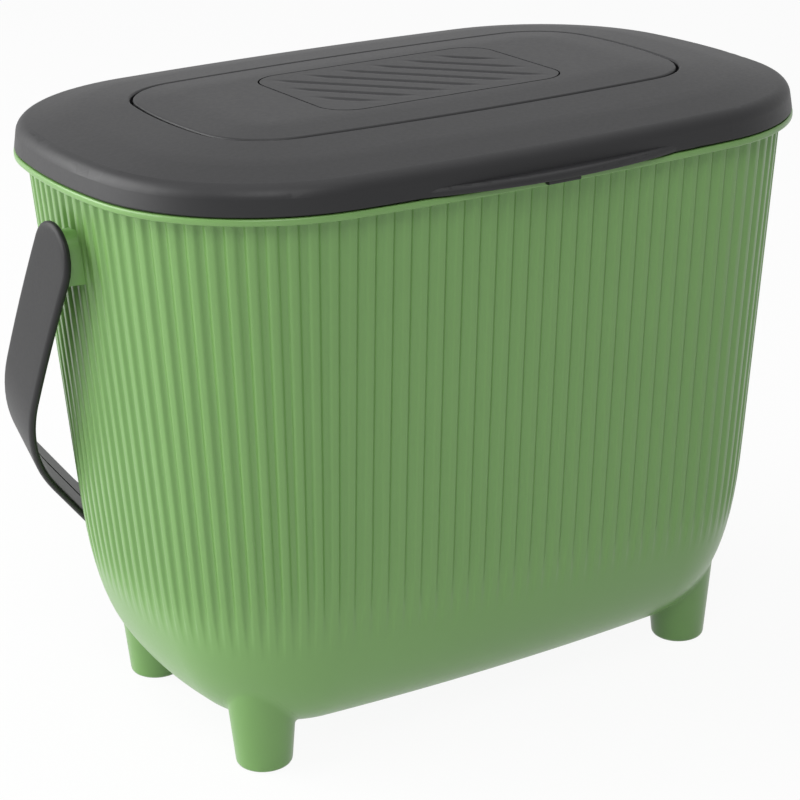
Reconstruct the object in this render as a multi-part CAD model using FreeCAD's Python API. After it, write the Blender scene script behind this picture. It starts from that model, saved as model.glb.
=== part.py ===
import FreeCAD, Part
import math
import os

# Kitchen compost caddy. Millimetres, Z up. It is drawn about the middle of the bucket, and the nodes are then
# moved so that the origin is on the floor under the middle between the finger lip and the hinge.
# X runs along the long side, the front with the finger lip faces -Y.

# Rim outline: one arc per long side, per end and per corner, all tangent
rim_half_length = 110.0
rim_half_width = 73.8
rim_corner_radius = 54.4
rim_side_radius = 764.0
rim_end_radius = 177.0

# Bucket wall, measured as an inset from the rim outline
flange_bottom = 163.7
flange_thickness = 1.8
flange_edge_round = 0.5
flange_inset = 0.6
wall_top_inset = 4.0
wall_draft = 0.0765
wall_thickness = 2.6
floor_thickness = 2.4
bottom_height = 8.8
round_start_height = 70.0
round_depth = 34.0
round_power = 3.0
round_points = 9

# Collar that the lid goes over
collar_inset = 4.0
collar_height = 4.6
collar_edge_round = 0.6

# Ribs: the wall between straight grooves, which run out where the wall turns in
rib_pitch = 5.12
groove_width = 2.0
groove_depth = 0.8
groove_depth_low = 1.1
groove_top_gap = 0.3
groove_low_height = 30.0

# Feet
foot_end_inset = 37.4
foot_side_inset = 39.8
foot_bottom_radius = 7.9
foot_taper = 0.09
foot_buried_height = 45.0
foot_edge_round = 1.5
foot_root_fillet = 2.5

# Handle strap and its pivots
pivot_drop = 19.6
strap_width = 19.8
strap_thickness = 2.2
strap_edge_round = 0.5
head_rise = 1.3
strap_inset_at_pivot = 0.1
arm_lean = 0.052
arm_length = 47.0
bend_radius = 72.0
bend_angle = 34.4
leg_length = 28.0
corner_radius = 58.7
corner_angle = 75.6
leg_side_inset = 22.7
grip_groove_width = 1.0
grip_groove_depth = 0.5
stud_radius = 2.5
stud_length = 4.6
stud_clearance = 0.05
stud_end_gap = 0.4

# Bosses that carry the handle
boss_half_width = 4.75
boss_below_pivot = 6.1
boss_above_pivot = 8.0
boss_face_gap = 0.4

# Lid
lid_flange_gap = 0.35
lid_edge_inset = 0.76
lid_edge_round = 0.4
lid_wall = 2.1
lid_shoulder_inset = 1.9
lid_shoulder_rise = 1.3
lid_shoulder_round = 4.0
lid_crown_inset = 17.0
lid_crown_rise = 2.6
lid_crown_round = 60.0
seal_seat_end = 11.0
seal_seat_round = 0.5

# Filter compartment in the lid, and its cover
panel_inset = 33.0
panel_edge_rise = 1.5
panel_gap = 0.8
panel_ledge = 3.5
panel_thickness = 2.5
panel_seat_gap = 0.1
panel_edge_round = 0.7
tray_wall = 1.8
tray_root_round = 1.0
tray_floor_thickness = 2.0
vent_slot_count = 9
vent_slot_pitch = 13.0
vent_slot_width = 3.0
vent_slot_length = 44.0
cover_flat_inset = 46.0
cover_rise = 1.0
cover_slope_round = 80.0

# Vent grille in the cover
grille_half_length = 38.0
grille_half_width = 24.6
grille_corner_radius = 9.0
grille_gap = 0.5
grille_thickness = 1.9
grille_ledge = 2.5
grille_seat_gap = 0.1
grille_edge_round = 0.35
slit_count = 8
slit_pitch = 8.2
slit_width = 2.0
slit_angle = -50.0
slit_margin = 4.5

# Filter pad and lid seal
pad_side_gap = 0.6
pad_height = 7.6
pad_top_gap = 1.1
seal_inner_inset = 8.4
seal_outer_inset = 4.6
seal_thickness = 1.4
seal_gap = 0.3
seal_edge_round = 0.3

# Front finger lip and catch
lip_half_length = 42.5
lip_reach = 4.0
lip_thickness = 2.2
lip_top_round = 1.4
lip_edge_round = 0.4
catch_half_width = 5.0
catch_gap = 0.4
catch_thickness = 1.9
catch_foot_rise = 0.8
catch_edge_round = 0.5

# Rear hinge
hinge_overhang = 5.6
hinge_drop = 2.2
knuckle_radius = 3.6
knuckle_half_length = 20.0
lug_length = 8.0
lug_gap = 0.4
lug_height = 11.5
pin_radius = 1.5
pin_fixed_clearance = 0.02
pin_turning_clearance = 0.06
hinge_arm_thickness = 2.8

# Places that follow from these sizes
flange_top = flange_bottom + flange_thickness
collar_top = flange_top + collar_height
foot_x = rim_half_length - foot_end_inset
foot_y = rim_half_width - foot_side_inset
pivot_height = flange_bottom - pivot_drop
strap_inner_at_pivot = rim_half_length - strap_inset_at_pivot
boss_bottom = pivot_height - boss_below_pivot
boss_top = pivot_height + boss_above_pivot
lid_bottom = flange_top + lid_flange_gap
seal_seat_height = collar_top + seal_gap + seal_thickness
lid_shoulder_height = seal_seat_height + lid_shoulder_rise
lid_crown_height = lid_shoulder_height + lid_crown_rise
panel_edge_height = lid_crown_height + panel_edge_rise
cover_flat_height = panel_edge_height + cover_rise
tray_floor_top = panel_edge_height - panel_thickness - pad_top_gap - pad_height
hinge_y = rim_half_width + hinge_overhang
hinge_height = flange_bottom - hinge_drop
lug_low_height = hinge_height - lug_height
front_reach = rim_half_width - lid_edge_inset + lip_reach
back_reach = hinge_y + knuckle_radius

# How far joined shapes reach into each other, how far cuts run past a face, and what counts as touching
root_depth = 1.0
cut_past = 1.0
same_place = 1e-4

X_AXIS = FreeCAD.Vector(1, 0, 0)
Z_AXIS = FreeCAD.Vector(0, 0, 1)
ORIGIN = FreeCAD.Vector(0, 0, 0)


def rim_arcs():
    """Centre, radius, start and end angle of the eight tangent arcs of the rim, from the +X end."""
    side_centre = rim_half_width - rim_side_radius
    end_centre = rim_half_length - rim_end_radius
    to_side = rim_side_radius - rim_corner_radius
    to_end = rim_end_radius - rim_corner_radius
    apart = math.hypot(end_centre, side_centre)
    along = (to_side ** 2 - to_end ** 2 + apart ** 2) / (2 * apart)
    across = math.sqrt(to_side ** 2 - along ** 2)
    slope_x = end_centre / apart
    slope_y = -side_centre / apart
    corner_x = slope_x * along + abs(slope_y) * across
    corner_y = side_centre + slope_y * along + abs(slope_x) * across
    side_angle = math.atan2(corner_y - side_centre, corner_x)
    end_angle = math.atan2(corner_y, corner_x - end_centre)
    arcs = []
    for sign, turn in ((1, 0.0), (-1, math.pi)):
        far = turn + math.pi
        arcs.append((sign * end_centre, 0.0, rim_end_radius, turn - end_angle, turn + end_angle))
        arcs.append((sign * corner_x, sign * corner_y, rim_corner_radius,
                     turn + end_angle, turn + side_angle))
        arcs.append((0.0, sign * side_centre, rim_side_radius, turn + side_angle, far - side_angle))
        arcs.append((-sign * corner_x, sign * corner_y, rim_corner_radius,
                     far - side_angle, far - end_angle))
    return arcs


RIM = rim_arcs()


def plan_face(inset):
    """Flat face at z = 0 inside the rim outline moved in by inset."""
    edges = []
    for cx, cy, radius, start, end in RIM:
        circle = Part.Circle(FreeCAD.Vector(cx, cy, 0), Z_AXIS, radius - inset)
        edges.append(Part.Arc(circle, start, end).toShape())
    return Part.Face(Part.Wire(edges))


def upright_prism(face, low, high):
    """Prism along Z of a face drawn at z = 0."""
    face.translate(FreeCAD.Vector(0, 0, low))
    return face.extrude(FreeCAD.Vector(0, 0, high - low))


def plan_prism(inset, low, high):
    return upright_prism(plan_face(inset), low, high)


def swept_round(profile):
    """Carries a profile, drawn with x = -inset in the XZ plane, once around the rim outline."""
    pieces = []
    for cx, cy, radius, start, end in RIM:
        section = profile.copy()
        section.translate(FreeCAD.Vector(radius, 0, 0))
        piece = section.revolve(ORIGIN, Z_AXIS, math.degrees(end - start))
        piece.rotate(ORIGIN, Z_AXIS, math.degrees(start))
        piece.translate(FreeCAD.Vector(cx, cy, 0))
        pieces.append(piece)
    return one_solid(pieces[0].multiFuse(pieces[1:]).removeSplitter())


def one_solid(shape):
    return max(shape.Solids, key=lambda solid: solid.Volume)


def corner_arc(before, corner, after, radius):
    """Start, middle and end of the arc that rounds a corner."""
    to_before = (before - corner).normalize()
    to_after = (after - corner).normalize()
    half_angle = to_before.getAngle(to_after) / 2
    reach = radius / math.tan(half_angle)
    middle_direction = (to_before + to_after).normalize()
    middle = corner + middle_direction * (radius / math.sin(half_angle) - radius)
    return corner + to_before * reach, middle, corner + to_after * reach


def rounded_face(corners, place):
    """Face with straight sides; each corner is (u, v, radius) and place turns u, v into a point."""
    points = [place(u, v) for u, v, radius in corners]
    count = len(points)
    starts = []
    ends = []
    edges = []
    for index, (u, v, radius) in enumerate(corners):
        start = end = points[index]
        if radius:
            after = points[(index + 1) % count]
            start, middle, end = corner_arc(points[index - 1], points[index], after, radius)
            edges.append(Part.Arc(start, middle, end).toShape())
        starts.append(start)
        ends.append(end)
    for index in range(count):
        edges.append(Part.makeLine(ends[index], starts[(index + 1) % count]))
    return Part.Face(Part.Wire(Part.__sortEdges__(edges)))


def rim_section(inset, height):
    return FreeCAD.Vector(-inset, 0, height)


def side_view(y, z):
    return FreeCAD.Vector(0, y, z)


def flat_view(x, y):
    return FreeCAD.Vector(x, y, 0)


def rounded_plate(half_length, half_width, radius, low, high):
    """Upright prism of a rectangle with round corners, centred on the origin."""
    corners = [(-half_length, -half_width, radius), (half_length, -half_width, radius),
               (half_length, half_width, radius), (-half_length, half_width, radius)]
    return upright_prism(rounded_face(corners, flat_view), low, high)


def x_prism(face, x_low, x_high):
    """Prism along X of a face drawn in the YZ plane."""
    face.translate(FreeCAD.Vector(x_low, 0, 0))
    return face.extrude(FreeCAD.Vector(x_high - x_low, 0, 0))


def side_prism(corners, x_low, x_high):
    """Prism along X of a rounded side view."""
    return x_prism(rounded_face(corners, side_view), x_low, x_high)


def half_round_face(half_width, spring, low, place):
    """Straight sides up from low to spring, then a half circle."""
    left = place(-half_width, spring)
    right = place(half_width, spring)
    low_left = place(-half_width, low)
    low_right = place(half_width, low)
    arch = Part.Arc(left, place(0, spring + half_width), right).toShape()
    corners = [right, low_right, low_left, left]
    sides = [Part.makeLine(a, b) for a, b in zip(corners, corners[1:])]
    return Part.Face(Part.Wire([arch] + sides))


def x_rod(radius, x_low, x_high, y, z):
    return Part.makeCylinder(radius, x_high - x_low, FreeCAD.Vector(x_low, y, z), X_AXIS)


def edges_at_height(shape, height):
    found = []
    for edge in shape.Edges:
        box = edge.BoundBox
        if abs(box.ZMin - height) < same_place and abs(box.ZMax - height) < same_place:
            found.append(edge)
    return found


# Bucket: ribbed wall, flange, collar, feet, bosses and hinge lugs in one moulding


def wall_inset(height):
    return wall_top_inset + wall_draft * (flange_bottom - height)


def bucket_block(wall_offset, bottom, top):
    """Solid inside the wall surface that lies wall_offset in from the outside, down to bottom."""
    depth = round_depth - wall_offset
    fall = round_start_height - bottom
    points = []
    for index in range(round_points):
        angle = math.pi / 2 * index / (round_points - 1)
        height = round_start_height - fall * math.sin(angle) ** (2 / round_power)
        inward = depth * (1 - max(math.cos(angle), 0.0) ** (2 / round_power))
        points.append(rim_section(wall_inset(height) + wall_offset + inward, height))
    along_wall = FreeCAD.Vector(-wall_draft, 0, -1)
    along_floor = FreeCAD.Vector(-1, 0, 0)
    curve = Part.BSplineCurve()
    curve.interpolate(points, InitialTangent=along_wall, FinalTangent=along_floor)
    core = -points[-1].x
    top_point = rim_section(wall_inset(top) + wall_offset, top)
    top_core = rim_section(core, top)
    edges = [Part.makeLine(top_point, points[0]), curve.toShape(),
             Part.makeLine(points[-1], top_core), Part.makeLine(top_core, top_point)]
    ring = swept_round(Part.Face(Part.Wire(edges)))
    return one_solid(ring.fuse(plan_prism(core, bottom, top)).removeSplitter())


def groove_places():
    """Arc centre, arc radius and angle of each groove; a whole number of ribs fits each arc of the wall."""
    places = []
    for cx, cy, radius, start, end in RIM:
        count = round((radius - wall_top_inset) * (end - start) / rib_pitch)
        places += [(cx, cy, radius, start + (end - start) * (index + 0.5) / count) for index in range(count)]
    return places


def groove_tools():
    """One long rod for each groove, along the drafted wall."""
    rod_radius = (groove_width ** 2 / 4 + groove_depth ** 2) / (2 * groove_depth)
    groove_top = flange_bottom - groove_top_gap
    tools = []
    for cx, cy, radius, angle in groove_places():
        ends = []
        for height, depth in ((groove_low_height, groove_depth_low), (groove_top, groove_depth)):
            reach = radius - wall_inset(height) + rod_radius - depth
            ends.append(FreeCAD.Vector(cx + reach * math.cos(angle), cy + reach * math.sin(angle), height))
        axis = ends[1] - ends[0]
        tools.append(Part.makeCylinder(rod_radius, axis.Length, ends[0], axis))
    return tools


def foot():
    top_radius = foot_bottom_radius + foot_taper * foot_buried_height
    cone = Part.makeCone(foot_bottom_radius, top_radius, foot_buried_height)
    return cone.makeFillet(foot_edge_round, edges_at_height(cone, 0.0))


def is_foot_side(face):
    surface = face.Surface
    return isinstance(surface, Part.Cone) and abs(abs(surface.Apex.x) - foot_x) < same_place


def foot_root_edges(shape):
    """Edges where the feet meet the rounded bottom."""
    found = []
    for edge in shape.Edges:
        neighbours = shape.ancestorsOfType(edge, Part.Face)
        sides = [is_foot_side(face) for face in neighbours]
        if any(sides) and not all(sides) and edge.BoundBox.ZMin > foot_edge_round + same_place:
            found.append(edge)
    return found


def rim_ring():
    """Flange and collar, reaching into the wall."""
    inner = wall_inset(flange_bottom) + wall_thickness + root_depth
    corners = [
        (inner, flange_bottom, 0),
        (flange_inset, flange_bottom, flange_edge_round),
        (flange_inset, flange_top, flange_edge_round),
        (collar_inset, flange_top, 0),
        (collar_inset, collar_top, collar_edge_round),
        (inner, collar_top, 0),
    ]
    return swept_round(rounded_face(corners, rim_section))


def boss(side):
    """Round-topped lug on one end of the bucket, just short of the strap's head however the strap turns."""
    outer = side * (arm_inner(boss_top - pivot_height) - boss_face_gap)
    inner = side * (rim_half_length - wall_inset(boss_bottom) - root_depth)
    face = half_round_face(boss_half_width, boss_top - boss_half_width, boss_bottom, side_view)
    return x_prism(face, min(inner, outer), max(inner, outer))


def stud_hole(side):
    outer = side * strap_inner_at_pivot
    inner = side * (strap_inner_at_pivot - stud_length - stud_end_gap)
    return x_rod(stud_radius + stud_clearance, min(inner, outer), max(inner, outer), 0, pivot_height)


def hinge_lug(side):
    """Lug under the back of the flange that holds one end of the hinge pin."""
    inner = side * (knuckle_half_length + lug_gap)
    outer = side * pin_half_length()
    low, high = min(inner, outer), max(inner, outer)
    root_y = rim_half_width - wall_inset(lug_low_height) - root_depth
    corners = [
        (root_y, lug_low_height, 0),
        (hinge_y, hinge_height - knuckle_radius, 0),
        (hinge_y, hinge_height + knuckle_radius, 0),
        (root_y, hinge_height + knuckle_radius, 0),
    ]
    return side_prism(corners, low, high).fuse(x_rod(knuckle_radius, low, high, hinge_y, hinge_height))


def pin_half_length():
    return knuckle_half_length + lug_gap + lug_length


def pin_hole(clearance, half_length):
    return x_rod(pin_radius + clearance, -half_length, half_length, hinge_y, hinge_height)


def bucket():
    body = bucket_block(0.0, bottom_height, flange_bottom)
    feet = []
    for x in (-foot_x, foot_x):
        for y in (-foot_y, foot_y):
            leg = foot()
            leg.translate(FreeCAD.Vector(x, y, 0))
            feet.append(leg)
    body = one_solid(body.multiFuse(feet))
    body = one_solid(body.makeFillet(foot_root_fillet, foot_root_edges(body)))
    body = one_solid(body.cut(groove_tools()))
    added = [rim_ring()]
    for side in (-1, 1):
        added.append(boss(side))
        added.append(hinge_lug(side))
    body = one_solid(body.multiFuse(added))
    inside = bucket_block(wall_thickness, bottom_height + floor_thickness, collar_top + cut_past)
    holes = [stud_hole(-1), stud_hole(1), pin_hole(pin_fixed_clearance, pin_half_length() + cut_past)]
    return one_solid(body.cut([inside] + holes))


# Handle: one strap bent to a U, with a stud on the inside of each arm


def arm_radius():
    return arm_length / math.sin(math.atan(arm_lean))


def arm_widest():
    """Distance from the middle to the strap's centre line where the arm ends and the bend begins."""
    radius = arm_radius()
    return strap_inner_at_pivot + strap_thickness / 2 + radius - math.sqrt(radius ** 2 - arm_length ** 2)


def arm_inner(height):
    """Distance from the middle to the inside of an arm, at a height above the pivot."""
    inner_radius = arm_radius() - strap_thickness / 2
    return arm_widest() - arm_radius() + math.sqrt(inner_radius ** 2 - (arm_length + height) ** 2)


def outward(angle):
    return FreeCAD.Vector(math.cos(angle), 0, math.sin(angle))


def strap_arcs():
    """Centre, radius, start and end angle of each arc from past the +X tip to the middle of the grip."""
    bend = math.radians(bend_angle)
    corner = math.radians(corner_angle)
    tip = math.asin((arm_length + head_rise + strap_width / 2 + cut_past) / arm_radius())
    arm_centre = FreeCAD.Vector(arm_widest() - arm_radius(), 0, -arm_length)
    bend_centre = FreeCAD.Vector(arm_widest() - bend_radius, 0, -arm_length)
    leg = FreeCAD.Vector(-math.sin(bend), 0, -math.cos(bend)) * leg_length
    corner_centre = bend_centre + outward(-bend) * (bend_radius - corner_radius) + leg
    corner_end = corner_centre + outward(-corner) * corner_radius
    grip_radius = corner_end.x / math.cos(corner)
    grip_centre = FreeCAD.Vector(0, 0, corner_end.z + grip_radius * math.sin(corner))
    return [
        (arm_centre, arm_radius(), tip, 0.0),
        (bend_centre, bend_radius, 0.0, -bend),
        (corner_centre, corner_radius, -bend, -corner),
        (grip_centre, grip_radius, -corner, -math.pi / 2),
    ]


def strap_chain(offset):
    """Edges and tips of the U, hanging down in the XZ plane with its pivots on z = 0, moved out by offset."""
    edges = []
    last = None
    for centre, radius, start, end in strap_arcs():
        angles = (start, (start + end) / 2, end)
        points = [centre + outward(angle) * (radius + offset) for angle in angles]
        if last and points[0].distanceToPoint(last) > same_place:
            edges.append(Part.makeLine(last, points[0]))
        if not last:
            tip = points[0]
        edges.append(Part.Arc(*points).toShape())
        last = points[2]
    edges += [edge.mirror(ORIGIN, X_AXIS) for edge in edges]
    return edges, [tip, FreeCAD.Vector(-tip.x, tip.y, tip.z)]


def strap_band(inner, outer, width):
    """The U between two offsets, width wide along Y."""
    inner_edges, inner_tips = strap_chain(inner)
    outer_edges, outer_tips = strap_chain(outer)
    closing = [Part.makeLine(a, b) for a, b in zip(inner_tips, outer_tips)]
    face = Part.Face(Part.Wire(Part.__sortEdges__(inner_edges + outer_edges + closing)))
    face.translate(FreeCAD.Vector(0, -width / 2, 0))
    return face.extrude(FreeCAD.Vector(0, width, 0)).removeSplitter()


def strap_rim_edges(strap):
    """Edges between the broad faces of the strap, which run straight along Y, and its narrow sides."""
    found = []
    for edge in strap.Edges:
        kinds = set()
        for face in strap.ancestorsOfType(edge, Part.Face):
            normal = face.normalAt(*face.Surface.parameter(face.CenterOfMass))
            faces_end = isinstance(face.Surface, Part.Cylinder) and abs(face.Surface.Axis.x) > same_place
            kinds.add(abs(normal.y) < same_place and not faces_end)
        if len(kinds) == 2:
            found.append(edge)
    return found


def hang_angle():
    """Turn of the hanging strap that carries its legs past the bucket's corners."""
    bend = math.radians(bend_angle)
    leg_middle = arm_length + bend_radius * math.sin(bend) + leg_length / 2 * math.cos(bend)
    return math.degrees(math.asin((rim_half_width - leg_side_inset) / leg_middle))


def handle():
    half = strap_thickness / 2
    strap = strap_band(-half, half, strap_width)
    reach = 2 * rim_half_length
    head = half_round_face(strap_width / 2, head_rise, -reach, side_view)
    strap = one_solid(strap.common(x_prism(head, -reach, reach)))
    strap = one_solid(strap.makeFillet(strap_edge_round, strap_rim_edges(strap)))
    line = strap_band(-half - cut_past, -half + grip_groove_depth, grip_groove_width)
    low_corner = FreeCAD.Vector(-reach, -reach / 2, -arm_length - reach)
    below_arms = Part.makeBox(2 * reach, reach, reach, low_corner)
    strap = one_solid(strap.cut(line.common(below_arms)))
    for side in (-1, 1):
        outer = side * (strap_inner_at_pivot + half)
        inner = side * (strap_inner_at_pivot - stud_length)
        strap = strap.fuse(x_rod(stud_radius, min(inner, outer), max(inner, outer), 0, 0))
    strap = one_solid(strap.removeSplitter())
    strap.rotate(ORIGIN, X_AXIS, hang_angle())
    strap.translate(FreeCAD.Vector(0, 0, pivot_height))
    return strap


# Lid: skirt, crowned top, filter tray, finger lip, catch and hinge knuckle in one moulding


def lid_top_at(inset):
    """Height of the lid's top between its shoulder and its crown."""
    share = (inset - lid_shoulder_inset) / (lid_crown_inset - lid_shoulder_inset)
    return lid_shoulder_height + share * (lid_crown_height - lid_shoulder_height)


def lid_shell():
    ledge_top = panel_edge_height - panel_thickness - panel_seat_gap
    tray_inner = panel_inset + panel_ledge
    tray_outer = tray_inner - tray_wall
    tray_low = tray_floor_top - tray_floor_thickness
    corners = [
        (lid_edge_inset, lid_bottom, lid_edge_round),
        (lid_shoulder_inset, lid_shoulder_height, lid_shoulder_round),
        (lid_crown_inset, lid_crown_height, lid_crown_round),
        (panel_inset, panel_edge_height, panel_edge_round),
        (panel_inset, ledge_top, 0),
        (tray_inner, ledge_top, panel_edge_round),
        (tray_inner, tray_low, 0),
        (tray_outer, tray_low, lid_edge_round),
        (tray_outer, ledge_top - lid_wall, tray_root_round),
        (seal_seat_end, lid_top_at(seal_seat_end) - lid_wall, 0),
        (seal_seat_end, seal_seat_height, 0),
        (lid_shoulder_inset + lid_wall, seal_seat_height, seal_seat_round),
        (lid_edge_inset + lid_wall, lid_bottom, lid_edge_round),
    ]
    return swept_round(rounded_face(corners, rim_section))


def finger_lip():
    """Crescent ledge along the foot of the skirt at the front, rooted in the middle of the skirt's wall."""
    root_inset = lid_edge_inset + lid_wall / 2
    root_radius = rim_side_radius - root_inset
    tips_y = rim_half_width - rim_side_radius + math.sqrt(root_radius ** 2 - lip_half_length ** 2)
    bulge = front_reach - tips_y
    lip_radius = (lip_half_length ** 2 + bulge ** 2) / (2 * bulge)
    half_turn = math.degrees(math.asin((lip_half_length + root_depth) / lip_radius))
    top = lid_bottom + lip_thickness
    depth = lip_reach + lid_wall
    corners = [
        (depth, lid_bottom, 0),
        (0, lid_bottom, lip_edge_round),
        (0, top, lip_top_round),
        (depth, top, 0),
    ]
    section = rounded_face(corners, rim_section)
    section.translate(FreeCAD.Vector(lip_radius, 0, 0))
    ledge = section.revolve(ORIGIN, Z_AXIS, 2 * half_turn)
    ledge.rotate(ORIGIN, Z_AXIS, -90 - half_turn)
    ledge.translate(FreeCAD.Vector(0, lip_radius - front_reach, 0))
    return ledge.cut(plan_prism(root_inset, lid_bottom - cut_past, top + cut_past))


def catch():
    """Small tab under the lip that stands in front of the flange."""
    near = -(rim_half_width - flange_inset + catch_gap)
    far = near - catch_thickness
    low = flange_bottom + catch_foot_rise
    high = lid_bottom + lip_thickness / 2
    corners = [(near, low, catch_edge_round), (near, high, 0), (far, high, 0), (far, low, catch_edge_round)]
    return side_prism(corners, -catch_half_width, catch_half_width)


def lid_knuckle():
    """Arm from the back of the skirt over the flange edge, with the barrel that turns on the pin."""
    root = rim_half_width - lid_edge_inset - root_depth
    near = hinge_y - knuckle_radius
    arm_top = lid_bottom + hinge_arm_thickness
    corners = [
        (root, lid_bottom, 0),
        (near, lid_bottom, 0),
        (near, hinge_height, 0),
        (back_reach, hinge_height, 0),
        (back_reach, arm_top, knuckle_radius),
        (root, arm_top, 0),
    ]
    arm = side_prism(corners, -knuckle_half_length, knuckle_half_length)
    barrel = x_rod(knuckle_radius, -knuckle_half_length, knuckle_half_length, hinge_y, hinge_height)
    return one_solid(arm.fuse(barrel).removeSplitter())


def vent_slots():
    """Round-ended slots in a row along X, through the floor of the filter tray."""
    end_radius = vent_slot_width / 2
    straight = vent_slot_length / 2 - end_radius
    low = tray_floor_top - tray_floor_thickness - cut_past
    high = tray_floor_top + cut_past
    slots = []
    for index in range(vent_slot_count):
        x = (index - (vent_slot_count - 1) / 2) * vent_slot_pitch
        for turn in (0, 180):
            slot = upright_prism(half_round_face(end_radius, straight, 0.0, flat_view), low, high)
            slot.rotate(ORIGIN, Z_AXIS, turn)
            slot.translate(FreeCAD.Vector(x, 0, 0))
            slots.append(slot)
    return slots


def lid():
    floor_inset = panel_inset + panel_ledge - tray_wall / 2
    tray_floor = plan_prism(floor_inset, tray_floor_top - tray_floor_thickness, tray_floor_top)
    shape = one_solid(lid_shell().multiFuse([tray_floor, finger_lip(), catch(), lid_knuckle()]))
    tools = vent_slots()
    tools.append(pin_hole(pin_turning_clearance, knuckle_half_length + cut_past))
    return one_solid(shape.cut(tools))


def lid_seal():
    """Flat ring under the lid, just above the top of the collar."""
    low = seal_seat_height - seal_thickness
    corners = [
        (seal_outer_inset, low, seal_edge_round),
        (seal_outer_inset, seal_seat_height, 0),
        (seal_inner_inset, seal_seat_height, 0),
        (seal_inner_inset, low, seal_edge_round),
    ]
    return swept_round(rounded_face(corners, rim_section))


# Filter cover, vent grille and filter pad


def filter_cover():
    outer = panel_inset + panel_gap
    low = panel_edge_height - panel_thickness
    slope = (cover_flat_height - panel_edge_height) / (cover_flat_inset - outer)
    inner = cover_flat_inset + slope * cover_slope_round
    corners = [
        (outer, low, panel_edge_round),
        (outer, panel_edge_height, panel_edge_round),
        (cover_flat_inset, cover_flat_height, cover_slope_round),
        (inner, cover_flat_height, 0),
        (inner, low, 0),
    ]
    ring = swept_round(rounded_face(corners, rim_section))
    plate = one_solid(ring.fuse(plan_prism(inner, low, cover_flat_height)).removeSplitter())
    seat = cover_flat_height - grille_thickness - grille_seat_gap
    pocket = rounded_plate(grille_half_length + grille_gap, grille_half_width + grille_gap,
                           grille_corner_radius + grille_gap, seat, cover_flat_height + cut_past)
    window = rounded_plate(grille_half_length - grille_ledge, grille_half_width - grille_ledge,
                           grille_corner_radius - grille_ledge, low - cut_past, seat + cut_past)
    return one_solid(plate.cut([pocket, window]))


def vent_grille():
    low = cover_flat_height - grille_thickness
    top = cover_flat_height
    plate = rounded_plate(grille_half_length, grille_half_width, grille_corner_radius, low, top)
    plate = plate.makeFillet(grille_edge_round, edges_at_height(plate, top))
    limit = rounded_plate(grille_half_length - slit_margin, grille_half_width - slit_margin,
                          grille_corner_radius - slit_margin, low - cut_past, top + cut_past)
    long_half = grille_half_length + grille_half_width
    slits = []
    for index in range(slit_count):
        across = (index - (slit_count - 1) / 2) * slit_pitch
        corner = FreeCAD.Vector(-long_half, across - slit_width / 2, low - cut_past)
        bar = Part.makeBox(2 * long_half, slit_width, grille_thickness + 2 * cut_past, corner)
        bar.rotate(ORIGIN, Z_AXIS, slit_angle)
        slits.append(bar.common(limit))
    return one_solid(plate.cut(slits))


def filter_pad():
    inset = panel_inset + panel_ledge + pad_side_gap
    return plan_prism(inset, tray_floor_top, tray_floor_top + pad_height)


def hinge_pin():
    return x_rod(pin_radius, -pin_half_length(), pin_half_length(), hinge_y, hinge_height)


NODES = {
    "bucket": bucket,
    "handle": handle,
    "lid": lid,
    "lid_seal": lid_seal,
    "filter_cover": filter_cover,
    "vent_grille": vent_grille,
    "filter_pad": filter_pad,
    "hinge_pin": hinge_pin,
}

os.makedirs("parts", exist_ok=True)
for name, make in NODES.items():
    shape = make()
    shape.translate(FreeCAD.Vector(0, (front_reach - back_reach) / 2, 0))
    print(name, "valid", shape.isValid(), "volume", round(shape.Volume), "faces", len(shape.Faces))
    shape.exportStep("parts/" + name + ".step")
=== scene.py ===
import math

import bmesh
import bpy
from mathutils import Matrix, Vector


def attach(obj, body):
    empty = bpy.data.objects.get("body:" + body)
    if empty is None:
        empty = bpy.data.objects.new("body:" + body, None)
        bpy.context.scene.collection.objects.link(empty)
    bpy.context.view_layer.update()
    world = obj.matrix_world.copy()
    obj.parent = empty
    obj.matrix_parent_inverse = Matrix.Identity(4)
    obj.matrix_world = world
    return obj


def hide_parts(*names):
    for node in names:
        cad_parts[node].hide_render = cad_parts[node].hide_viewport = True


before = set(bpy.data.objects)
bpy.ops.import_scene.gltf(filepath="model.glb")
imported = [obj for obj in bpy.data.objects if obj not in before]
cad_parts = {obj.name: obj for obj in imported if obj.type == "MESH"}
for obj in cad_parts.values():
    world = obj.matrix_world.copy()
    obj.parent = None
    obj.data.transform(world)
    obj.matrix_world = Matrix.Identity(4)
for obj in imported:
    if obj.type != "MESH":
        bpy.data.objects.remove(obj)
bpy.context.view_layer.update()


# Bucket. One injection moulding in grass green polypropylene: fluted wall, thin rim, bosses, lugs and feet.
# The flutes are soft waves that run out where the wall turns in. The mould is satin, so the skin has a
# very fine grain and a soft sheen.

mm, same_place, tiny = 0.001, 1e-7, 1e-9
bucket_middle_y = -2.98

rim_half_length, rim_half_width = 110.0, 73.8
end_radius, side_radius, corner_radius = 177.0, 764.0, 54.4
end_flutes, corner_flutes, side_flutes = 10, 13, 23

wall_top_inset, wall_draft, wall_thickness = 4.0, 0.0765, 2.6
turn_top, turn_power = 70.0, 2 / 3
outside_bottom, outside_turn = 8.8, 34.0
inside_bottom, inside_turn = 11.2, 31.4
flange_bottom, flange_top, flange_edge, flange_round = 163.7, 165.5, 0.6, 0.5
flange_soft, collar_fillet, collar_fillet_height, crease_support = 0.8, 0.3, 0.2, 0.1
collar_top, collar_inside, collar_round = 170.1, 6.1, 0.6

flute_depth, flute_floor, flute_flank, flute_hollow = 0.80, 0.12, 0.20, 0.25
flute_places, flute_end = [0.0, 0.10, 0.18, 0.24, 0.30, 0.38], 0.01

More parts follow.
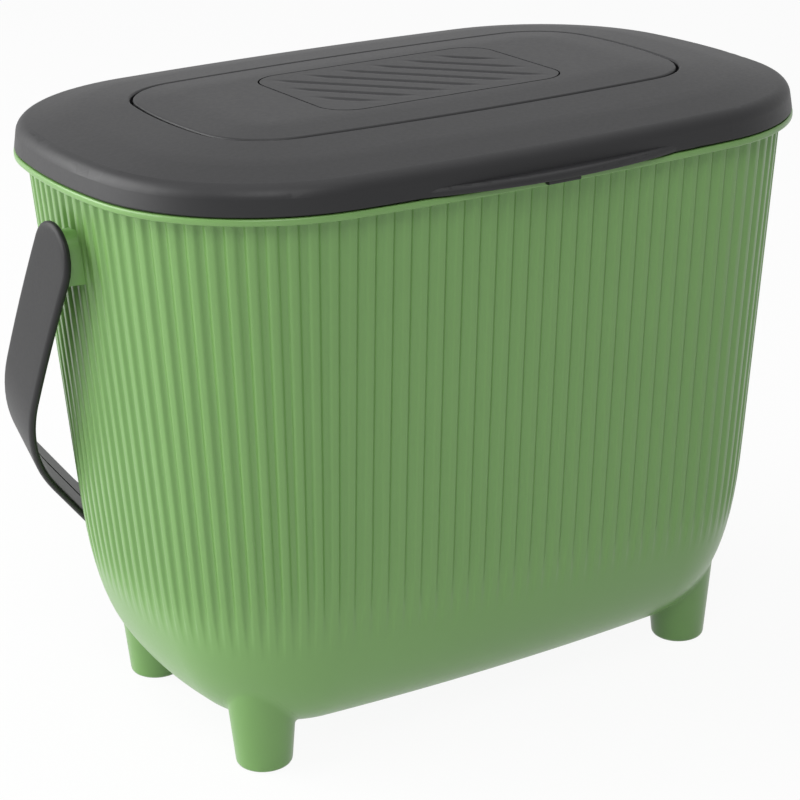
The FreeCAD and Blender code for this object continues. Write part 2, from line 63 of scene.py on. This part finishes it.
foot_x, foot_y = 72.6, 34.0
foot_radius, foot_taper, foot_edge, foot_round, foot_sole = 7.9, 0.09, 8.0, 1.5, 4.0
foot_fillet, foot_overlap, foot_lifts = 1.3, 0.2, (0.5, 0.6, 0.7)

pivot_height = 144.1
boss_half_width, boss_below, boss_spring, boss_round = 4.75, 6.1, 3.25, 0.6
boss_face, boss_root, boss_back = 109.05, 103.0, 102.6
boss_round_middle, boss_flare, boss_back_inset = 0.3, 0.3, 3.0
hole_radius, hole_mouth, hole_mouth_depth, hole_end = 2.55, 2.8, 0.26, 104.9

pin_y, pin_height = 79.4, 161.5
lug_radius, lug_root, lug_fall = 3.6, 11.67, 7.9
lug_inside, lug_outside, lug_round = 20.4, 28.4, 0.4
bore_radius, bore_mouth, bore_mouth_depth = 1.52, 1.8, 0.25

green_dark, green_light = (0.168, 0.348, 0.092, 1), (0.184, 0.370, 0.104, 1)


def rim_outline():
    """Centre, radius, first and last angle and number of flutes of the eight arcs of the rim."""
    end_centre, side_centre = rim_half_length - end_radius, rim_half_width - side_radius
    to_end, to_side = end_radius - corner_radius, side_radius - corner_radius
    apart = math.hypot(end_centre, side_centre)
    along = (to_side ** 2 - to_end ** 2 + apart ** 2) / (2 * apart)
    across = math.sqrt(to_side ** 2 - along ** 2)
    corner_x = (end_centre * along - side_centre * across) / apart
    corner_y = side_centre + (-side_centre * along - end_centre * across) / apart
    side_turn = math.atan2(corner_y - side_centre, corner_x)
    end_turn = math.atan2(corner_y, corner_x - end_centre)
    arcs = []
    for sign, turn in ((1, 0.0), (-1, math.pi)):
        far = turn + math.pi
        x, y = sign * corner_x, sign * corner_y
        arcs += [
            (sign * end_centre, 0.0, end_radius, turn - end_turn, turn + end_turn, end_flutes),
            (x, y, corner_radius, turn + end_turn, turn + side_turn, corner_flutes),
            (0.0, sign * side_centre, side_radius, turn + side_turn, far - side_turn, side_flutes),
            (-x, y, corner_radius, far - side_turn, far - end_turn, corner_flutes),
        ]
    return arcs


rim_arcs = rim_outline()


def around_rim(places):
    """Arc centre, radius, angle and place across the rib, from 0 at its middle to 1 at the next one's."""
    spots = []
    for cx, cy, radius, first, last, ribs in rim_arcs:
        for rib in range(ribs):
            for place in places:
                spots.append((cx, cy, radius, first + (last - first) * (rib + place) / ribs, place))
    return spots


def wrapped(columns, rows, spot):
    """Tube made of a grid: spot gives the place from the bucket's middle, in mm, at a column and row."""
    sheet = bmesh.new()
    bmesh.ops.create_grid(sheet, x_segments=columns, y_segments=rows, size=1.0)
    for vert in sheet.verts:
        column = round((vert.co.x + 1) / 2 * columns) % columns
        row = round((vert.co.y + 1) / 2 * rows)
        x, y, z = spot(column, row)
        vert.co = Vector((x, y + bucket_middle_y, z)) * mm
    bmesh.ops.remove_doubles(sheet, verts=sheet.verts, dist=same_place)
    return sheet


def close_ends(tube):
    bmesh.ops.holes_fill(tube, edges=[edge for edge in tube.edges if edge.is_boundary], sides=0)
    return tube


def soft_step(share):
    """Smooth rise from 0 to 1 while share goes from 0 to 1."""
    share = min(max(share, 0.0), 1.0)
    return share * share * (3 - 2 * share)


def wall_inset(height):
    return wall_top_inset + wall_draft * (flange_bottom - height)


def turned_in(share, bottom, depth):
    """Height and extra inset along the turn from the wall, at share 0, to the bottom, at share 1."""
    angle = math.pi / 2 * share
    height = turn_top - (turn_top - bottom) * math.sin(angle) ** turn_power
    return height, depth * (1 - max(math.cos(angle), 0.0) ** turn_power)


def round_corner(inset, height, radius, first, last, steps=4):
    """Points of a rounded profile corner whose arc centre is at inset and height, without flutes."""
    points = []
    for step in range(steps + 1):
        angle = math.radians(first + (last - first) * step / steps)
        points.append((inset + radius * math.cos(angle), height + radius * math.sin(angle), 0.0))
    return points


def bucket_profile():
    """Inset, height and share of flute depth of each row: up the outside, over the rim and down inside."""
    outside_steps, inside_steps = 20, 9
    outside_heights = (turn_top, 100.0, 130.0, flange_bottom - flute_end)
    inside_heights = (169.0, 120.0, turn_top)
    flange_turn = flange_edge + flange_round
    collar_turn = collar_top - collar_round
    rows = []
    for step in range(outside_steps, 0, -1):
        height, turn_in = turned_in(step / outside_steps, outside_bottom, outside_turn)
        rows.append((wall_inset(height) + turn_in, height, max(0.0, 1.0 - turn_in)))
    rows += [(wall_inset(height), height, 1.0) for height in outside_heights]
    rows.append((wall_top_inset - flange_soft, flange_bottom, 0.0))
    rows.append((flange_edge + flange_soft, flange_bottom, 0.0))
    rows += round_corner(flange_turn, flange_bottom + flange_round, flange_round, 270, 180)
    rows += round_corner(flange_turn, flange_top - flange_round, flange_round, 180, 90)
    rows.append((wall_top_inset - collar_fillet, flange_top, 0.0))
    rows.append((wall_top_inset, flange_top + collar_fillet_height, 0.0))
    rows.append((wall_top_inset, collar_turn - crease_support, 0.0))
    rows += round_corner(wall_top_inset + collar_round, collar_turn, collar_round, 180, 90)
    rows += round_corner(collar_inside - collar_round, collar_turn, collar_round, 90, 0)
    rows += [(wall_inset(height) + wall_thickness, height, 0.0) for height in inside_heights]
    for step in range(1, inside_steps + 1):
        height, turn_in = turned_in(step / inside_steps, inside_bottom, inside_turn)
        rows.append((wall_inset(height) + wall_thickness + turn_in, height, 0.0))
    return rows


def groove(place):
    """Share of the groove's depth across the rib: hollow floor, soft flanks and a slightly round rib."""
    off = abs(place - 0.5)
    return 1 - soft_step((off - flute_floor) / flute_flank) + flute_hollow * (1 - 2 * off) ** 2


def bucket_wall():
    spots = around_rim(flute_places + [0.5] + [1 - place for place in flute_places[:0:-1]])
    profile = bucket_profile()

    def spot(column, row):
        cx, cy, radius, angle, place = spots[column]
        inset, height, depth = profile[row]
        reach = radius - inset - flute_depth * depth * groove(place)
        return cx + reach * math.cos(angle), cy + reach * math.sin(angle), height

    return close_ends(wrapped(len(spots), len(profile) - 1, spot))


def bottom_height(x, y):
    """Height of the outside of the turned-in bottom under a point of the plan."""
    inset = min(radius - math.hypot(x - cx, y - cy) for cx, cy, radius, first, last, ribs in rim_arcs
                if (math.atan2(y - cy, x - cx) - first) % (2 * math.pi) <= last - first)
    low, high, halvings = 0.0, 1.0, 30
    for halving in range(halvings):
        share = (low + high) / 2
        height, turn_in = turned_in(share, outside_bottom, outside_turn)
        if wall_inset(height) + turn_in < inset:
            low = share
        else:
            high = share
    return turned_in(low, outside_bottom, outside_turn)[0]


def bucket_foot(middle_x, middle_y):
    """Tapered foot with a rounded edge below and a fillet up into the bottom."""
    columns, edge_steps, fillet_steps, guesses = 48, 4, 6, 8
    rim_lift, inner_lift, middle_lift = foot_lifts

    def ring(column):
        angle = 2 * math.pi * column / columns
        dx, dy = math.cos(angle), math.sin(angle)

        def on(radius, height):
            return middle_x + radius * dx, middle_y + radius * dy, height

        def bottom_at(radius):
            return bottom_height(middle_x + radius * dx, middle_y + radius * dy)

        points = [(middle_x, middle_y, 0.0), on(foot_sole, 0.0)]
        for step in range(edge_steps + 1):
            turn = math.pi / 2 * step / edge_steps
            radius = foot_edge - foot_round + foot_round * math.sin(turn)
            points.append(on(radius, foot_round - foot_round * math.cos(turn)))
        meet = outside_bottom
        for guess in range(guesses):
            meet = bottom_at(foot_radius + foot_taper * meet)
        hip = foot_radius + foot_taper * meet
        lower = (foot_radius + foot_taper * (meet - foot_fillet), meet - foot_fillet)
        upper = (hip + foot_fillet, bottom_at(hip + foot_fillet))
        for step in range(fillet_steps + 1):
            share = step / fillet_steps
            keep, mid, go = (1 - share) ** 2, 2 * share * (1 - share), share ** 2
            points.append(on(keep * lower[0] + mid * hip + go * upper[0],
                             keep * lower[1] + mid * meet + go * upper[1]))
        points.append(on(hip + foot_fillet + foot_overlap, upper[1] + rim_lift))
        points.append(on(foot_sole, bottom_at(foot_sole) + inner_lift))
        points.append((middle_x, middle_y, bottom_height(middle_x, middle_y) + middle_lift))
        return points

    rings = [ring(column) for column in range(columns)]
    return wrapped(columns, len(rings[0]) - 1, lambda column, row: rings[column][row])


def boss_reach(angle):
    """Distance from the stud hole's middle to the edge of the round-topped boss."""
    dy, dz = math.cos(angle), math.sin(angle)
    side = boss_half_width / max(abs(dy), tiny)
    if dz < 0:
        return min(side, boss_below / -dz)
    if side * dz <= boss_spring:
        return side
    return dz * boss_spring + math.sqrt((dz * boss_spring) ** 2 - boss_spring ** 2 + boss_half_width ** 2)


def bucket_boss(side):
    """Boss on one end of the wall, with the blind hole that the handle's stud turns in."""
    columns = 64
    foot_corner = math.atan2(-boss_below, boss_half_width)
    angles = [foot_corner + 2 * math.pi * column / columns for column in range(columns)]
    angles[round((math.pi - 2 * foot_corner) / (2 * math.pi) * columns) % columns] = math.pi - foot_corner
    hole = [(0.0, hole_end), (hole_radius, hole_end)]
    hole += [(hole_radius, boss_face - hole_mouth_depth), (hole_mouth, boss_face)]
    middle = boss_round_middle * boss_round
    outline = [(-boss_round, boss_face), (-middle, boss_face - middle), (0.0, boss_face - boss_round)]
    outline += [(boss_flare, boss_root), (-boss_back_inset, boss_back)]
    rows = hole + outline

    def spot(column, row):
        size, x = rows[row]
        reach = size if row < len(hole) else boss_reach(angles[column]) + size
        return side * x, reach * math.cos(angles[column]), pivot_height + reach * math.sin(angles[column])

    return close_ends(wrapped(columns, len(rows) - 1, spot))


def lug_reach(angle):
    """Distance from the hinge pin's middle to the outline of a lug."""
    dy, dz = math.cos(angle), math.sin(angle)
    if dy >= 0:
        return lug_radius
    root = lug_root / -dy
    top = lug_radius / dz if dz > 0 else root
    slope = lug_fall / lug_root
    under = -lug_radius / (dz - slope * dy) if dz - slope * dy < 0 else root
    return min(root, top, under)


def hinge_lug(side):
    """Lug under the back of the rim, bored for the hinge pin."""
    columns = 72
    bore_in = (bore_radius, 0.0, lug_inside + bore_mouth_depth)
    rows = [bore_in, (bore_mouth, 0.0, lug_inside)]
    rows += [(0.0, -lug_round, lug_inside), (0.0, 0.0, lug_inside + lug_round)]
    rows += [(0.0, 0.0, lug_outside - lug_round), (0.0, -lug_round, lug_outside)]
    rows += [(bore_mouth, 0.0, lug_outside), (bore_radius, 0.0, lug_outside - bore_mouth_depth), bore_in]

    def spot(column, row):
        angle = 2 * math.pi * column / columns
        radius, trim, x = rows[row]
        reach = radius or lug_reach(angle) + trim
        return side * x, pin_y + reach * math.cos(angle), pin_height + reach * math.sin(angle)

    return wrapped(columns, len(rows) - 1, spot)


def finish_piece(name, meshes, material, sharp):
    """Joins meshes into one named object: faces outward, creases above the sharp angle, one material."""
    joined = bpy.data.meshes.new(name)
    whole = bmesh.new()
    for part in meshes:
        bmesh.ops.recalc_face_normals(part, faces=part.faces)
        part.to_mesh(joined)
        whole.from_mesh(joined)
        part.free()
    for face in whole.faces:
        face.smooth = True
    whole.to_mesh(joined)
    whole.free()
    joined.set_sharp_from_angle(angle=math.radians(sharp))
    joined.materials.append(material)
    piece = bpy.data.objects.new(name, joined)
    bpy.context.scene.collection.objects.link(piece)
    return piece


class Value:
    """An output socket of a finish; sums on it add Math nodes to that finish."""

    def __init__(self, finish, socket):
        self.finish = finish
        self.socket = socket

    def math(self, operation, first, second):
        return self.finish.node("Math", {"operation": operation}, {0: first, 1: second})

    def __add__(self, other):
        return self.math("ADD", self, other)

    def __mul__(self, other):
        return self.math("MULTIPLY", self, other)

    def __sub__(self, other):
        return self.math("SUBTRACT", self, other)

    def __rsub__(self, other):
        return self.math("SUBTRACT", other, self)

    __radd__ = __add__
    __rmul__ = __mul__


class Finish:
    """A material, or the room's world, and its node tree."""

    def __init__(self, name, kind=bpy.data.materials):
        self.owner = kind.new(name)
        self.owner.use_nodes = True
        self.tree = self.owner.node_tree
        self.tree.nodes.clear()

    def node(self, kind, settings=None, inputs=None, output=0):
        made = self.tree.nodes.new("ShaderNode" + kind)
        for key, value in (settings or {}).items():
            setattr(made, key, value)
        for key, value in (inputs or {}).items():
            if isinstance(value, Value):
                self.tree.links.new(value.socket, made.inputs[key])
            else:
                made.inputs[key].default_value = value
        return Value(self, made.outputs[output]) if made.outputs else None

    def noise(self, size, detail=2.0, stretch=(1.0, 1.0, 1.0)):
        """Cloudy noise from 0 to 1 in object coordinates, whose lumps are about size metres across."""
        spot = self.node("TexCoord", output="Object")
        spot = self.node("Mapping", inputs={"Vector": spot, "Scale": stretch})
        return self.node("TexNoise", inputs={"Vector": spot, "Scale": 1.0 / size, "Detail": detail})

    def between(self, mask, low, high):
        """Colour that goes from low to high with the mask."""
        return self.node("Mix", {"data_type": "RGBA"}, {0: mask, 6: low, 7: high}, output=2)

    def bump(self, height, depth, strength):
        return self.node("Bump", inputs={"Height": height, "Distance": depth, "Strength": strength})

    def surface(self, **sockets):
        shader = self.node("BsdfPrincipled", inputs=sockets)
        self.node("OutputMaterial", inputs={"Surface": shader})
        return self.owner


def green_moulding():
    finish = Finish("green_moulding")
    clouds = finish.noise(size=0.06)
    speck = finish.noise(size=0.0011)
    grain = finish.noise(size=0.00035)
    return finish.surface(**{
        "Base Color": finish.between(clouds, green_dark, green_light),
        "Roughness": 0.26 + 0.08 * speck,
        "Normal": finish.bump(grain, depth=0.00002, strength=0.4),
        "IOR": 1.57,
    })


feet = [bucket_foot(x, y) for x in (-foot_x, foot_x) for y in (-foot_y, foot_y)]
fixings = [bucket_boss(side) for side in (-1, 1)] + [hinge_lug(side) for side in (-1, 1)]
bucket = finish_piece("bucket_moulding", [bucket_wall()] + feet + fixings, green_moulding(), sharp=50.0)
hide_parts("bucket")
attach(bucket, "bucket")


# Handle. A strap of dark grey polypropylene, bent to a U, which snaps onto the bosses by its studs.
# It comes out of the mould with rounded edges, a fine satin texture and a line along the inside of the grip.

strap_half_width, strap_half_thickness = 9.9, 1.1
strap_side, strap_edge_round = 0.2, 1.4
strap_shares = [0.0, 0.04, 0.058, 0.3, 0.6, 0.85, 0.88, 0.91, 0.94, 0.965, 0.985, 0.996, 1.0]
head_rise, head_turns = 1.3, (90, 82, 74, 66, 58, 48, 36, 24, 12)
arm_drop, arm_lean, arm_inside = 47.0, 0.052, 109.9
bend_radius, bend_angle, leg_length, leg_back = 72.0, math.radians(34.4), 28.0, 51.1
grip_turn_radius, grip_turn_angle = 58.7, math.radians(75.6)
grip_line_share, grip_line_depth = 0.05, 0.5
stud_radius, stud_inside, stud_segments = 2.5, 105.3, 40

strap_dark, strap_light = (0.014, 0.014, 0.015, 1), (0.019, 0.019, 0.020, 1)


def strap_line():
    """Place and outward angle in the plane of the U, from the tip of one arm to the tip of the other."""
    arm_steps, arc_steps = 6, 12
    arm_radius = arm_drop / math.sin(math.atan(arm_lean))
    widest = arm_inside + strap_half_thickness + arm_radius - math.sqrt(arm_radius ** 2 - arm_drop ** 2)
    bend_x = widest - bend_radius
    shift = bend_radius - grip_turn_radius
    turn_x = bend_x + shift * math.cos(bend_angle) - leg_length * math.sin(bend_angle)
    turn_z = -arm_drop - shift * math.sin(bend_angle) - leg_length * math.cos(bend_angle)
    grip_radius = turn_x / math.cos(grip_turn_angle) + grip_turn_radius
    grip_z = turn_z + (grip_radius - grip_turn_radius) * math.sin(grip_turn_angle)
    heights = [head_rise + strap_half_width * math.sin(math.radians(turn)) for turn in head_turns]
    heights += [head_rise - (head_rise + arm_drop) * step / arm_steps for step in range(arm_steps + 1)]
    line = []
    for height in heights:
        angle = math.asin((height + arm_drop) / arm_radius)
        line.append((widest - arm_radius + arm_radius * math.cos(angle), height, angle))
    for middle_x, middle_z, radius, first, last in (
        (bend_x, -arm_drop, bend_radius, 0.0, bend_angle),
        (turn_x, turn_z, grip_turn_radius, bend_angle, grip_turn_angle),
        (0.0, grip_z, grip_radius, grip_turn_angle, math.pi / 2),
    ):
        for step in range(arc_steps + 1):
            angle = -first - (last - first) * step / arc_steps
            line.append((middle_x + radius * math.cos(angle), middle_z + radius * math.sin(angle), angle))
    return line + [(-x, z, math.pi - angle) for x, z, angle in line[-2::-1]]


def hanging_strap():
    """Strap with rounded edges and half-round heads, turned back as it hangs."""
    line = strap_line()
    across = [-share for share in strap_shares[:0:-1]] + strap_shares
    around = [(share, 1) for share in across] + [(share, -1) for share in across[::-1]]
    leg_middle = arm_drop + bend_radius * math.sin(bend_angle) + leg_length / 2 * math.cos(bend_angle)
    hang = math.asin(leg_back / leg_middle)

    def spot(column, row):
        x, z, angle = line[row]
        share, face = around[column]
        head = max(z - head_rise, 0.0)
        y = share * math.sqrt(max(strap_half_width ** 2 - head ** 2, 0.0))
        room = min(max(strap_half_width - math.hypot(head, y), 0.0) / strap_edge_round, 1.0)
        offset = strap_side + (strap_half_thickness - strap_side) * math.sqrt(1 - (1 - room) ** 2)
        if face < 0 and abs(share) < grip_line_share and z < -arm_drop:
            offset -= grip_line_depth
        x += face * offset * math.cos(angle)
        z += face * offset * math.sin(angle)
        height = pivot_height + y * math.sin(hang) + z * math.cos(hang)
        return x, y * math.cos(hang) - z * math.sin(hang), height

    return wrapped(len(around), len(line) - 1, spot)


def strap_stud(side):
    """Round stud on the inside of an arm, which turns in the boss."""
    stud = bmesh.new()
    reach = arm_inside + strap_half_thickness
    middle_x = side * (stud_inside + reach) / 2 * mm
    at_pivot = Matrix.Translation((middle_x, bucket_middle_y * mm, pivot_height * mm))
    turned = at_pivot @ Matrix.Rotation(math.pi / 2, 4, "Y")
    bmesh.ops.create_cone(stud, cap_ends=True, segments=stud_segments, radius1=stud_radius * mm,
                          radius2=stud_radius * mm, depth=(reach - stud_inside) * mm, matrix=turned)
    return stud


def grey_strap():
    finish = Finish("grey_strap")
    clouds = finish.noise(size=0.03)
    grain = finish.noise(size=0.0004)
    return finish.surface(**{
        "Base Color": finish.between(clouds, strap_dark, strap_light),
        "Roughness": 0.38 + 0.08 * finish.noise(size=0.001),
        "Normal": finish.bump(grain, depth=0.00002, strength=0.6),
        "IOR": 1.33,
    })


studs = [strap_stud(side) for side in (-1, 1)]
strap = finish_piece("handle_strap", [hanging_strap()] + studs, grey_strap(), sharp=50.0)
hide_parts("handle")
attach(strap, "handle")


# Lid and filter cover. Charcoal mouldings with a fine matt grain all over.
# The cover drops into the lid, and a thin gap shows between them.

charcoal_dark, charcoal_light = (0.012, 0.012, 0.0135, 1), (0.016, 0.016, 0.0175, 1)


def shade(node, material):
    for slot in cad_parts[node].material_slots:
        slot.material = material


def charcoal_grain():
    finish = Finish("charcoal_grain")
    clouds = finish.noise(size=0.04)
    grain = finish.noise(size=0.0006, detail=3.0)
    return finish.surface(**{
        "Base Color": finish.between(clouds, charcoal_dark, charcoal_light),
        "Roughness": 0.42 + 0.10 * finish.noise(size=0.0012),
        "Normal": finish.bump(grain, depth=0.00002, strength=0.35),
        "IOR": 1.46,
    })


charcoal = charcoal_grain()
for panel in ("lid", "filter_cover"):
    shade(panel, charcoal)


# Vent grille. A thin charcoal panel that snaps into the filter cover, with eight slanted louvres.
# Each louvre is a soft scoop that runs out towards its ends.

grille_half_length, grille_half_width, grille_corner = 38.0, 24.6, 9.0
grille_top, grille_thickness, grille_edge_drops = 178.2, 1.9, (0.1, 0.25)
slant = math.radians(-50)
louvre_count, louvre_pitch, louvre_deepest = 8, 8.2, 0.42
louvre_soft, louvre_sharp, louvre_fade = 1.5, 0.4, 9.0
louvre_half_length, louvre_half_width = 34.5, 21.0


def louvre_depth(x, y):
    """How far the panel is scooped out at a point."""
    along = x * math.cos(slant) + y * math.sin(slant)
    across = y * math.cos(slant) - x * math.sin(slant)
    half_count = (louvre_count - 1) / 2
    number = min(max(round(across / louvre_pitch + half_count), 0), louvre_count - 1)
    middle = (number - half_count) * louvre_pitch
    ends = []
    for reach, lean, base in ((louvre_half_length, math.cos(slant), -middle * math.sin(slant)),
                              (louvre_half_width, math.sin(slant), middle * math.cos(slant))):
        ends.append(sorted(((reach - base) / lean, (-reach - base) / lean)))
    room = min(along - max(ends[0][0], ends[1][0]), min(ends[0][1], ends[1][1]) - along)
    off = across - middle
    lip = math.exp(-(off / (louvre_soft if off < 0 else louvre_sharp)) ** 2)
    return louvre_deepest * lip * soft_step(room / louvre_fade)


def trim(panel, edge, out):
    """Cuts off what lies beyond the edge point in the outward direction."""
    whole = list(panel.verts) + list(panel.edges) + list(panel.faces)
    bmesh.ops.bisect_plane(panel, geom=whole, plane_co=edge, plane_no=out, clear_outer=True)


def louvred_panel():
    """Panel cut from a fine grid that lies along the louvres, with its edge turned down all round."""
    corner_steps, along_steps, across_steps, sheet_half = 48, 64, 240, 48.0
    panel = bmesh.new()
    bmesh.ops.create_grid(panel, x_segments=along_steps, y_segments=across_steps, size=sheet_half)
    bmesh.ops.rotate(panel, verts=panel.verts, matrix=Matrix.Rotation(slant, 3, "Z"))
    straight_x, straight_y = grille_half_length - grille_corner, grille_half_width - grille_corner
    for step in range(corner_steps):
        angle = 2 * math.pi * (step + 0.5) / corner_steps
        out = Vector((math.cos(angle), math.sin(angle), 0))
        corner = Vector((math.copysign(straight_x, out.x), math.copysign(straight_y, out.y), 0))
        trim(panel, corner + out * grille_corner, out)
    for out in (Vector((1, 0, 0)), Vector((-1, 0, 0)), Vector((0, 1, 0)), Vector((0, -1, 0))):
        trim(panel, Vector((out.x * grille_half_length, out.y * grille_half_width, 0)), out)
    for vert in panel.verts:
        vert.co.z -= louvre_depth(vert.co.x, vert.co.y)
    border = [edge for edge in panel.edges if edge.is_boundary]
    for drop in grille_edge_drops + (grille_thickness - sum(grille_edge_drops),):
        made = bmesh.ops.extrude_edge_only(panel, edges=border)["geom"]
        border = [item for item in made if isinstance(item, bmesh.types.BMEdge) and item.is_boundary]
        for vert in {vert for edge in border for vert in edge.verts}:
            vert.co.z -= drop
    bmesh.ops.holes_fill(panel, edges=border, sides=0)
    for vert in panel.verts:
        vert.co = Vector((vert.co.x, vert.co.y + bucket_middle_y, vert.co.z + grille_top)) * mm
    return panel


grille = finish_piece("vent_grille_panel", [louvred_panel()], charcoal, sharp=35.0)
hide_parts("vent_grille")
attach(grille, "filter_cover")


# Lid seal. A flat ring of black rubber pressed under the lid.
# Rubber is dull, with a faint bloom in patches.

rubber_black, rubber_bloom = (0.018, 0.018, 0.018, 1), (0.035, 0.035, 0.036, 1)


def seal_rubber():
    finish = Finish("seal_rubber")
    bloom = finish.noise(size=0.008, detail=4.0)
    return finish.surface(**{
        "Base Color": finish.between(bloom, rubber_black, rubber_bloom),
        "Roughness": 0.65 + 0.2 * bloom,
        "Normal": finish.bump(finish.noise(size=0.0005), depth=0.00003, strength=0.6),
    })


shade("lid_seal", seal_rubber())


# Filter pad. A cut slab of needled charcoal felt that lies in the tray of the lid.
# Its fibres are matted, so it is black with grey hairs and has no gloss.

pad_side = [(38.3, 166.0), (37.6, 166.3), (37.2, 167.2), (37.1, 168.8), (37.2, 170.4), (37.6, 171.5)]
pad_crown = [(38.4, 172.2), (40.0, 172.7), (43.0, 173.1), (47.0, 173.4), (51.0, 173.55), (53.0, 173.58)]
felt_black, felt_grey = (0.008, 0.008, 0.009, 1), (0.06, 0.06, 0.062, 1)


def charcoal_felt():
    finish = Finish("charcoal_felt")
    fibres = finish.noise(size=0.0012, detail=6.0, stretch=(1.0, 0.3, 1.0))
    return finish.surface(**{
        "Base Color": finish.between(fibres, felt_black, felt_grey),
        "Roughness": 0.95,
        "Normal": finish.bump(fibres, depth=0.0004, strength=0.8),
    })


def felt_pad():
    """Slab with drawn-in sides and a low crown, flat where it lies on the tray."""
    spots = around_rim([0.0, 0.5])
    rows = pad_side + pad_crown

    def spot(column, row):
        cx, cy, radius, angle, place = spots[column]
        inset, height = rows[row]
        return cx + (radius - inset) * math.cos(angle), cy + (radius - inset) * math.sin(angle), height

    return close_ends(wrapped(len(spots), len(rows) - 1, spot))


pad = finish_piece("filter_pad_felt", [felt_pad()], charcoal_felt(), sharp=35.0)
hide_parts("filter_pad")
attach(pad, "lid")


# Hinge pin. A cut length of drawn steel wire, held in the lugs at the back.
# Drawing leaves fine lines along it.

steel_dark, steel_light = (0.42, 0.42, 0.43, 1), (0.58, 0.58, 0.59, 1)


def drawn_steel():
    finish = Finish("drawn_steel")
    lines = finish.noise(size=0.0006, detail=3.0, stretch=(0.02, 1.0, 1.0))
    return finish.surface(**{
        "Base Color": finish.between(lines, steel_dark, steel_light),
        "Metallic": 1.0,
        "Roughness": 0.25 + 0.2 * lines,
        "Normal": finish.bump(lines, depth=0.00002, strength=0.5),
    })


shade("hinge_pin", drawn_steel())


# Studio. A pale floor, a large soft lamp on the left, weaker ones in front and above, and a bright room.
# The camera stands where the photograph was taken from.

white, floor_paint = (1, 1, 1, 1), (0.93, 0.93, 0.93, 1)
floor_size, floor_seen, floor_mirrored = 8.0, 0.93, 0.75
room_light, room_seen, room_mirrored = 0.16, 0.84, 0.56
caddy_middle = Vector((0.0, 0.0, 0.09))


def floor_finish():
    finish = Finish("studio_floor")
    path = finish.node("LightPath", output="Is Camera Ray")
    gloss = finish.node("LightPath", output="Is Glossy Ray")
    paint = finish.node("BsdfDiffuse", inputs={"Color": floor_paint})
    glow = finish.node("Emission", inputs={"Color": white, "Strength": 1.0})
    seen = floor_seen * path + floor_mirrored * gloss
    mixed = finish.node("MixShader", inputs={0: seen, 1: paint, 2: glow})
    finish.node("OutputMaterial", inputs={"Surface": mixed})
    return finish.owner


def white_room():
    finish = Finish("white_room", bpy.data.worlds)
    path = finish.node("LightPath", output="Is Camera Ray")
    gloss = finish.node("LightPath", output="Is Glossy Ray")
    seen = room_light + room_seen * path + room_mirrored * gloss
    light = finish.node("Background", inputs={"Color": white, "Strength": seen})
    finish.node("OutputWorld", inputs={"Surface": light})
    return finish.owner


def soft_lamp(name, place, width, height, watts):
    """Area lamp that faces the middle of the caddy."""
    lamp = bpy.data.lights.new(name, "AREA")
    lamp.shape = "RECTANGLE"
    lamp.size = width
    lamp.size_y = height
    lamp.energy = watts
    stand = bpy.data.objects.new(name, lamp)
    stand.location = place
    stand.rotation_euler = (caddy_middle - Vector(place)).to_track_quat("-Z", "Y").to_euler()
    bpy.context.scene.collection.objects.link(stand)


bpy.ops.mesh.primitive_plane_add(size=floor_size, location=(0, 0, 0))
floor = bpy.context.object
floor.name = "studio_floor"
floor.data.materials.append(floor_finish())

soft_lamp("key", place=(-1.1, 0.64, 0.62), width=1.5, height=1.1, watts=22.5)
soft_lamp("front", place=(-0.55, -0.95, 1.2), width=0.7, height=0.7, watts=7.0)
soft_lamp("overhead", place=(0.0, 0.0, 1.5), width=1.5, height=1.5, watts=5.5)
bpy.context.scene.world = white_room()

camera_azimuth = math.radians(-31.1015)
camera_elevation = math.radians(20.5719)
camera_roll = math.radians(-1.2368)
camera_target = Vector((-0.0053145, -0.00298, 0.0827792))
camera_distance = 0.68481
camera_lens, camera_sensor = 105.13, 36.0

back = Vector((
    math.sin(camera_azimuth) * math.cos(camera_elevation),
    -math.cos(camera_azimuth) * math.cos(camera_elevation),
    math.sin(camera_elevation),
))
level = Vector((0, 0, 1)).cross(back).normalized()
upright = back.cross(level)
right = math.cos(camera_roll) * level + math.sin(camera_roll) * upright
up = -math.sin(camera_roll) * level + math.cos(camera_roll) * upright
place = camera_target + back * camera_distance
lens = bpy.data.cameras.new("photo_camera")
lens.lens = camera_lens
lens.sensor_width = camera_sensor
camera = bpy.data.objects.new("photo_camera", lens)
camera.matrix_world = Matrix((
    (right.x, up.x, back.x, place.x),
    (right.y, up.y, back.y, place.y),
    (right.z, up.z, back.z, place.z),
    (0, 0, 0, 1),
))
bpy.context.scene.collection.objects.link(camera)
bpy.context.scene.camera = camera
bpy.context.scene.view_settings.view_transform = "Standard"
